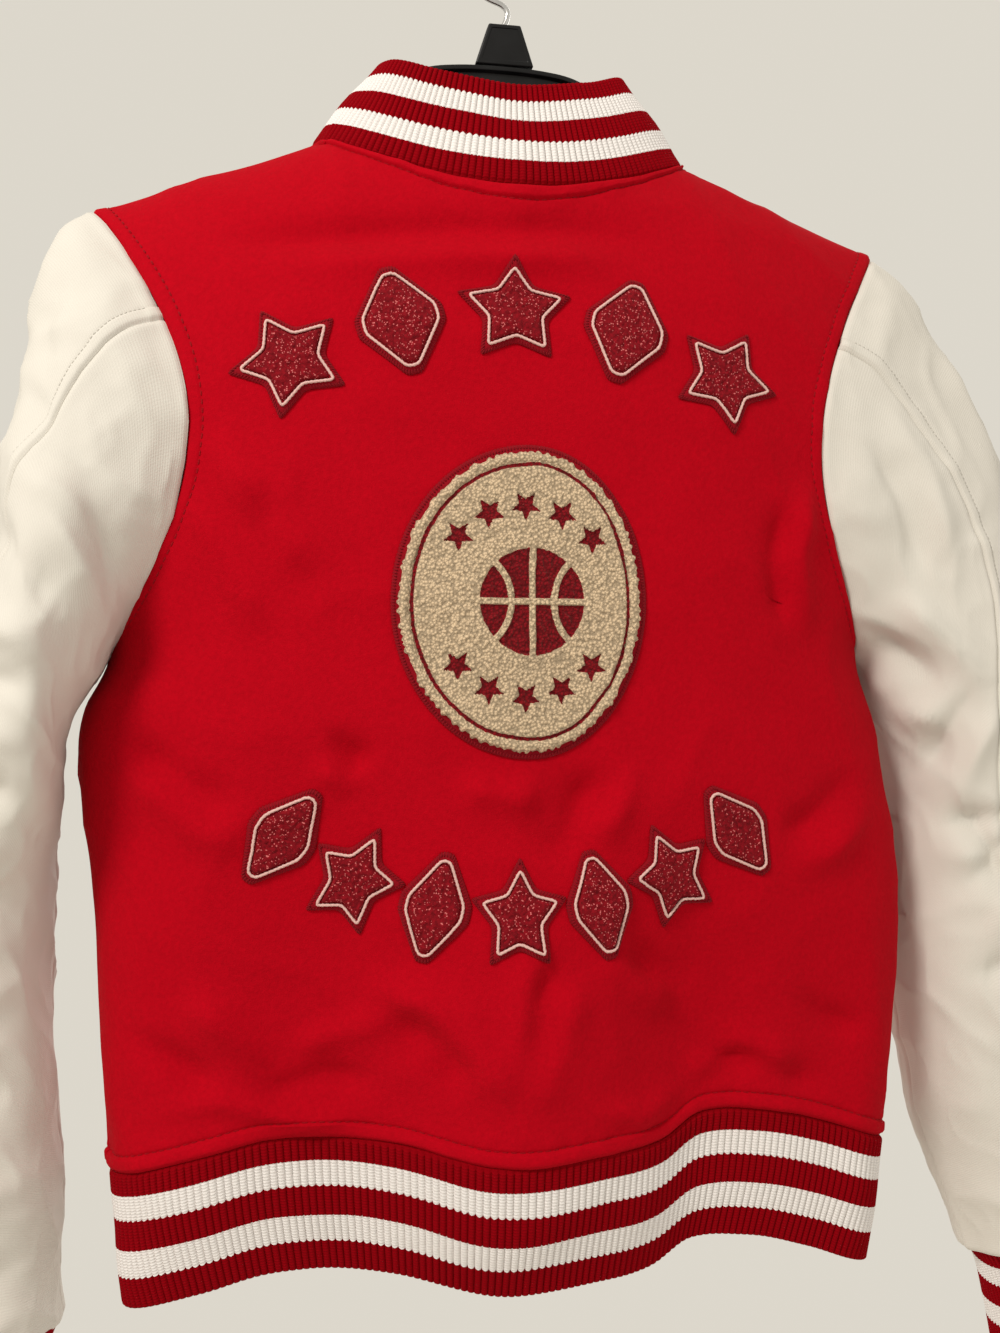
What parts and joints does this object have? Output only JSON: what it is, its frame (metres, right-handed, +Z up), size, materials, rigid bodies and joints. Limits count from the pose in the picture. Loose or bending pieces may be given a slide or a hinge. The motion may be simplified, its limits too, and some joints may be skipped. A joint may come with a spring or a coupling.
{
  "type": "varsity jacket on a clothes hanger",
  "caption": "Red fleece varsity jacket with cream sleeves, striped rib collar, cuffs and hem, snap front and appliqued chenille patches, hanging open inside on a slim hanger",
  "frame": {"origin": "the hanging point, on the inside top of the hook's bend", "axes": "+Z up, +Y the jacket's front, +X the wearer's right"},
  "size_m": [0.6708, 0.1577, 0.7924],
  "materials": {
    "red_fleece": "bright red brushed fleece, matt, soft nap",
    "rib_knit": "2x2 rib knit, crimson with two warm white stripes",
    "cream_twill": "warm white fine knit twill, matt",
    "felt_red": "dark red wool felt with an overlocked edge",
    "chenille_red": "dark red chenille pile with a fine glitter, pale outline cord",
    "chenille_cream": "cream looped chenille pile with dark red figures",
    "snap_metal": "satin nickel snap cap",
    "hanger_plastic": "black moulded plastic, satin",
    "hook_wire": "bright zinc plated steel wire"
  },
  "bodies": {
    "root": {"back": "red_fleece", "badge_felt": "felt_red", "badge_pile": "chenille_cream", "collar": "rib_knit", "cuff_left": "rib_knit", "cuff_right": "rib_knit", "front_left": "red_fleece", "front_right": "red_fleece", "hanger_bar": "hanger_plastic", "hanger_block": "hanger_plastic", "hanger_hook": "hook_wire", "hem_rib": "rib_knit", "lower_lozenge_1_felt": "felt_red", "lower_lozenge_1_pile": "chenille_red", "lower_lozenge_3_felt": "felt_red", "lower_lozenge_3_pile": "chenille_red", "lower_lozenge_5_felt": "felt_red", "lower_lozenge_5_pile": "chenille_red", "lower_lozenge_7_felt": "felt_red", "lower_lozenge_7_pile": "chenille_red", "lower_star_2_felt": "felt_red", "lower_star_2_pile": "chenille_red", "lower_star_4_felt": "felt_red", "lower_star_4_pile": "chenille_red", "lower_star_6_felt": "felt_red", "lower_star_6_pile": "chenille_red", "sleeve_left_top": "cream_twill", "sleeve_left_under": "cream_twill", "sleeve_right_top": "cream_twill", "sleeve_right_under": "cream_twill", "snap_1": "snap_metal", "snap_2": "snap_metal", "snap_3": "snap_metal", "snap_4": "snap_metal", "snap_5": "snap_metal", "snap_6": "snap_metal", "upper_lozenge_2_felt": "felt_red", "upper_lozenge_2_pile": "chenille_red", "upper_lozenge_4_felt": "felt_red", "upper_lozenge_4_pile": "chenille_red", "upper_star_1_felt": "felt_red", "upper_star_1_pile": "chenille_red", "upper_star_3_felt": "felt_red", "upper_star_3_pile": "chenille_red", "upper_star_5_felt": "felt_red", "upper_star_5_pile": "chenille_red"}
  },
  "joints": []
}
